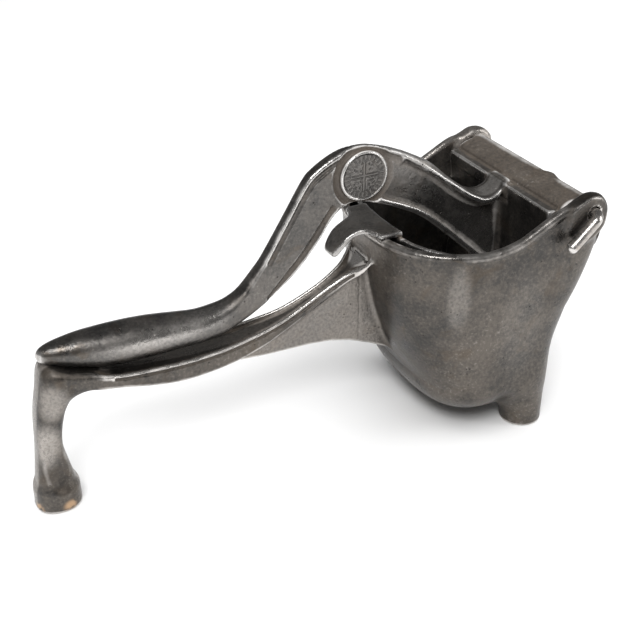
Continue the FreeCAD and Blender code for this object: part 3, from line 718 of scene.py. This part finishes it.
def cast_metal(name, base=0.17, worn_and_highlight_tone=0.58, warm=0.08, patina=0.7, gloss=0.34, speckle=0.4, roundel=False):
    """Old cast aluminium: mottled grey, brown in the hollows, bright where use has worn it; painted shade in
    closed-in pockets, painted light and highlights where the mesh marks them.
    """
    n = Nodes(name)
    broad = n.noise(26, 3, 0.5)
    middle = n.noise(110, 5, 0.6, warp=0.4)
    fine = n.noise(700, 4, 0.65)
    grain = n.noise(2200, 2, 0.6)
    uneven = n.math("MULTIPLY", n.math("SUBTRACT", middle, 0.5), 0.5)
    edge = n.ramp(n.math("ADD", n.attribute("bend"), uneven), 0.22, 0.62)
    sheltered = n.math("SUBTRACT", 1.0, n.attribute("open_near"))
    painted_shade = n.math("SUBTRACT", 1.0, n.attribute("open_far"))
    hollow = n.ramp(n.math("ADD", sheltered, uneven), 0.12, 0.5)
    # Dirt on the lever's block, and painted shade low inside the hopper; both go with the hollows' brown.
    dirt_and_shade = n.math("MULTIPLY", n.attribute("dirt_and_shade"), n.ramp(fine, 0.3, 0.6, 0.6, 1.0))
    hollow = n.math("MAXIMUM", hollow, dirt_and_shade)
    mottle = n.math("ADD", n.math("MULTIPLY", broad, 0.4), n.math("MULTIPLY", middle, 0.3))
    mottle = n.ramp(n.math("ADD", mottle, n.math("MULTIPLY", fine, 0.3)), 0.38, 0.62)
    colour = n.mix(mottle, grey(base * 0.62, warm * 0.5), grey(base * 1.4, warm * 1.6))
    stain = n.ramp(n.noise(60, 5, 0.62, warp=0.8), 0.52, 0.7, 0.0, 0.6 * patina)
    colour = n.mix(stain, colour, (base * 1.1, base * 0.84, base * 0.6, 1))
    colour = n.mix(n.math("MULTIPLY", hollow, patina), colour, (base * 0.58, base * 0.43, base * 0.3, 1))
    # Painted shade: darker grey where the space in front of the surface is closed in.
    colour = n.mix(n.math("MULTIPLY", n.ramp(painted_shade, 0.3, 1.0), 0.35), colour, grey(base * 0.4, warm))
    # Painted light and highlights, with real wear on the front leg: the lighter worn-metal tone, and less
    # rough.
    painted_light_and_wear = n.math("MULTIPLY", n.attribute("painted_light_and_wear"), n.ramp(fine, 0.3, 0.6, 0.6, 1.0))
    colour = n.mix(n.math("MULTIPLY", painted_light_and_wear, 0.8), colour, grey(worn_and_highlight_tone * 1.05, warm))
    flecks = n.ramp(n.math("ADD", n.math("MULTIPLY", fine, 0.7), n.math("MULTIPLY", grain, 0.3)), 0.55, 0.66)
    flecks = n.math("MULTIPLY", flecks, n.ramp(broad, 0.5, 0.66, 0.1, 0.6))
    bright = n.math("MAXIMUM", edge, n.math("MULTIPLY", flecks, speckle))
    colour = n.mix(bright, colour, grey(worn_and_highlight_tone, warm * 0.6))
    pitted = n.ramp(n.noise(170, 2, 0.5), 0.56, 0.64)
    pits = n.math("MULTIPLY", n.ramp(n.spots(420), 0.10, 0.2, 1.0, 0.0), pitted)
    colour = n.mix(n.math("MULTIPLY", pits, 0.8), colour, grey(base * 0.25, 0.1))
    roughness = n.math("ADD", n.ramp(middle, 0.3, 0.7, gloss - 0.07, gloss + 0.1),
                       n.math("MULTIPLY", hollow, 0.2), clamp=True)
    polish = n.math("MAXIMUM", edge, painted_light_and_wear)
    roughness = n.math("SUBTRACT", roughness, n.math("MULTIPLY", polish, 0.12), clamp=True)
    height = n.math("ADD", n.math("MULTIPLY", fine, 0.8), n.math("MULTIPLY", middle, 1.4))
    height = n.math("SUBTRACT", height, n.math("MULTIPLY", pits, 1.2))
    if roundel:
        raised = relief(n, fine)
        height = n.math("ADD", height, n.math("MULTIPLY", raised, 0.9))
        colour = n.mix(n.math("MULTIPLY", raised, 0.1), colour, grey(worn_and_highlight_tone, warm))
    bump = n.add("ShaderNodeBump")
    bump.inputs["Strength"].default_value = 0.7
    bump.inputs["Distance"].default_value = 0.00025
    n.link(height, bump.inputs["Height"])
    shader = n.add("ShaderNodeBsdfPrincipled")
    # Painted reflection: tan patches on the foot, with duller metal there.
    painted_reflection = n.math("MULTIPLY", n.attribute("painted_reflection"), n.ramp(middle, 0.42, 0.52))
    colour = n.mix(painted_reflection, colour, (0.42, 0.27, 0.15, 1))
    dull = n.math("MAXIMUM", painted_reflection, n.math("MULTIPLY", hollow, 0.7))
    n.link(n.math("SUBTRACT", 0.94, dull, clamp=True), shader.inputs["Metallic"])
    n.link(colour, shader.inputs["Base Color"])
    n.link(roughness, shader.inputs["Roughness"])
    n.link(bump.outputs[0], shader.inputs["Normal"])
    n.link(shader.outputs[0], n.output.inputs["Surface"])
    return n.material


# ------------------------------------------------------------------ where the metal is dirty or worn, and where shade, light and a reflection are painted
# Each rule gives 0 to 1 at a place; the materials read it from the mesh.
def lever_grime(x, y, z):
    """Old dirt on top of the block, heavier behind the crease."""
    return (0.35 * fade(x, -17.8, -17) + 0.65 * fade(x, -14, -12.6)) * fade(z, 108.4, 109.8)


def lever_painted_light(x, y, z):
    """Painted highlight: a streak along the near side of the grip; painted light on the rear panel."""
    high = z - np.interp(x, [-225, -204, -178, -160, -140], [73.8, 72.6, 71.8, 74.0, 84.0])
    # Painted highlight along the grip's lower middle, on the near side only.
    streak = 0.75 * np.exp(-((high - 2.6) / 3.5) ** 2) * fade(x, -226, -196) * fade(x, -150, -172) * (y < 0)
    # Painted light on the rear panel, stronger towards the block.
    panel = (0.3 + 0.6 * fade(x, -60, -28)) * fade(x, -84, -70) * fade(x, -17.5, -19) * fade(np.abs(y), 5, 4)
    return np.maximum(streak, panel * fade(z, 66, 72))


def body_painted_shade(x, y, z):
    """Painted shade, darker towards the bottom of the hopper's inside."""
    inside = fade(hopper_outside(x, y, z), -1.5, -3.4)
    return 0.5 * inside * fade(z, 100, 60)


def body_painted_light(x, y, z):
    """Painted light on the web gusset and on the far wall near its rim, and painted highlights on the near
    side.
    """
    # Painted light on the gusset's face, and on the far wall's inside near its rim.
    web = fade(np.abs(y), 4.2, 3.2) * fade(x, -74, -84) * fade(z, 84, 74)
    far_wall = fade(y, 30, 38) * fade(x, -66, -52) * fade(z, 84, 94)
    # Painted highlights: two soft vertical streaks on the near side.
    scuff = 0.22 * blob(x, y, z, (-65, -44, 80), (7, 12, 22))
    scuff = scuff + 0.1 * blob(x, y, z, (-32, -48, 60), (16, 12, 36))
    return np.maximum(np.maximum(0.3 * web, 0.7 * far_wall), scuff)


def front_wear_and_painted_light(x, y, z):
    """Wear on the knee and shin of the front leg, partly painted highlight, and whatever body_painted_light
    gives there.
    """
    # Worn bright patches, partly painted highlight.
    knee = blob(x, y, z, (-239, -9, 56), (10, 7, 12))
    shin = blob(x, y, z, (-243, -8, 34), (9, 8, 15))
    return np.maximum(np.maximum(knee * 0.45, 0.65 * shin), body_painted_light(x, y, z))


def foot_painted_reflection(x, y, z):
    """Painted reflection: two tan patches low on the foot, of a wooden table."""
    return np.maximum(blob(x, y, z, (-249.6, -4.3, 1.8), (3.0, 4.2, 4.0)),
                      blob(x, y, z, (-237.5, -9.5, 3.0), (4.2, 3.0, 3.6)))


# ------------------------------------------------------------------ build the pieces
COARSE = 1.0
HOPPER_VOXEL = 1.0 * COARSE
ARM_VOXEL = 0.62 * COARSE
LEVER_VOXEL = 0.8 * COARSE
LINER_VOXEL = 0.8 * COARSE
ROD_VOXEL = 0.45 * COARSE


def finish_piece(piece, body, material, node):
    """Gives a piece its material, hangs it on its body, and hides the CAD node it stands in for."""
    piece.data.materials.append(material)
    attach(piece, body)
    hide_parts(node)


body_metal = cast_metal("body_metal", base=0.09)
lever_metal = cast_metal("lever_metal", base=0.118, warm=0.05, roundel=True)
liner_metal = cast_metal("liner_metal", base=0.19, worn_and_highlight_tone=0.4, warm=0.05)
rod_metal = cast_metal("rod_metal", base=0.34, worn_and_highlight_tone=0.62, warm=0.06, gloss=0.3, speckle=1.0)

# Painted shade low inside the hopper; painted light and highlights on its outside.
hopper = mesh_of("hopper_casting", rear_half, (SPLIT - 4, -52, -2), (16, 52, 122), HOPPER_VOXEL,
                 dirt_and_shade=body_painted_shade, painted_light_and_wear=body_painted_light)
finish_piece(hopper, "press_body", body_metal, "body_casting")
# Wear and painted highlights on the front leg, and a painted reflection on the foot.
front = mesh_of("arm_casting", front_half, (-254, -24, -2), (SPLIT + 4, 24, 106), ARM_VOXEL,
                painted_light_and_wear=front_wear_and_painted_light, painted_reflection=foot_painted_reflection)
finish_piece(front, "press_body", body_metal, "body_casting")
# Dirt on the block; painted highlight on the grip and painted light on the rear panel.
lever = mesh_of("lever_press_casting", lever_field, (-246, -45, 30), (8, 45, 144), LEVER_VOXEL,
                dirt_and_shade=lever_grime, painted_light_and_wear=lever_painted_light)
finish_piece(lever, "lever", lever_metal, "lever_casting")
liner = mesh_of("liner_pan", liner_field, (-112, -46, 24), (12, 46, 108), LINER_VOXEL)
finish_piece(liner, "press_body", liner_metal, "strainer_insert")
rod = mesh_of("bent_rod", rod_field, (-20, -60, 92), (6, 60, 116), ROD_VOXEL)
finish_piece(rod, "rod", rod_metal, "hinge_rod")


# ------------------------------------------------------------------ floor, light, camera
def floor():
    """A plain pale floor, 8 m square."""
    mesh = bpy.data.meshes.new("floor")
    reach = 4.0
    corners = [(-reach, -reach, 0), (reach, -reach, 0), (reach, reach, 0), (-reach, reach, 0)]
    mesh.from_pydata(corners, [], [(0, 1, 2, 3)])
    plane = bpy.data.objects.new("floor", mesh)
    bpy.context.scene.collection.objects.link(plane)
    n = Nodes("pale_floor")
    shader = n.add("ShaderNodeBsdfPrincipled")
    shader.inputs["Base Color"].default_value = (0.86, 0.86, 0.86, 1)
    shader.inputs["Roughness"].default_value = 0.9
    n.link(shader.outputs[0], n.output.inputs["Surface"])
    mesh.materials.append(n.material)


def lamp(name, place, target, size, power, in_gloss=True):
    """A soft rectangular lamp that points at the target."""
    data = bpy.data.lights.new(name, "AREA")
    data.shape = "RECTANGLE"
    data.size, data.size_y = size
    data.energy = power
    thing = bpy.data.objects.new(name, data)
    thing.location = place
    aim = np.array(target) - np.array(place)
    thing.rotation_euler = Vector(aim).to_track_quat("-Z", "Y").to_euler()
    thing.visible_glossy = in_gloss
    bpy.context.scene.collection.objects.link(thing)


def world(strength):
    """Even white light from all round."""
    w = bpy.data.worlds.new("studio")
    w.use_nodes = True
    back = w.node_tree.nodes["Background"]
    back.inputs[0].default_value = (1, 1, 1, 1)
    back.inputs[1].default_value = strength
    bpy.context.scene.world = w


def camera():
    """A camera at the photograph's viewing angle and distance."""
    data = bpy.data.cameras.new("camera")
    data.sensor_width = 36.0
    data.lens = 62.05
    thing = bpy.data.objects.new("camera", data)
    azimuth, elevation, distance = math.radians(-26.53), math.radians(30.86), 0.5099
    target = np.array([HINGE_X * M - 0.11087, 0, 0.05812])
    level = math.cos(elevation)
    back = np.array([math.sin(azimuth) * level, -math.cos(azimuth) * level, math.sin(elevation)])
    thing.location = target + distance * back
    thing.rotation_euler = (math.pi / 2 - elevation, 0, azimuth)
    bpy.context.scene.collection.objects.link(thing)
    bpy.context.scene.camera = thing


floor()
world(0.15)
lamp("floor_fill", (0, 0, 2.2), (0, 0, 0), (3.0, 3.0), 80, in_gloss=False)
lamp("key", (-0.45, -0.75, 1.0), (0, 0, 0.05), (0.5, 0.35), 9)
lamp("side", (0.9, -0.6, 0.45), (0, 0, 0.06), (0.25, 0.6), 3)
camera()
bpy.context.scene.view_settings.view_transform = "Standard"
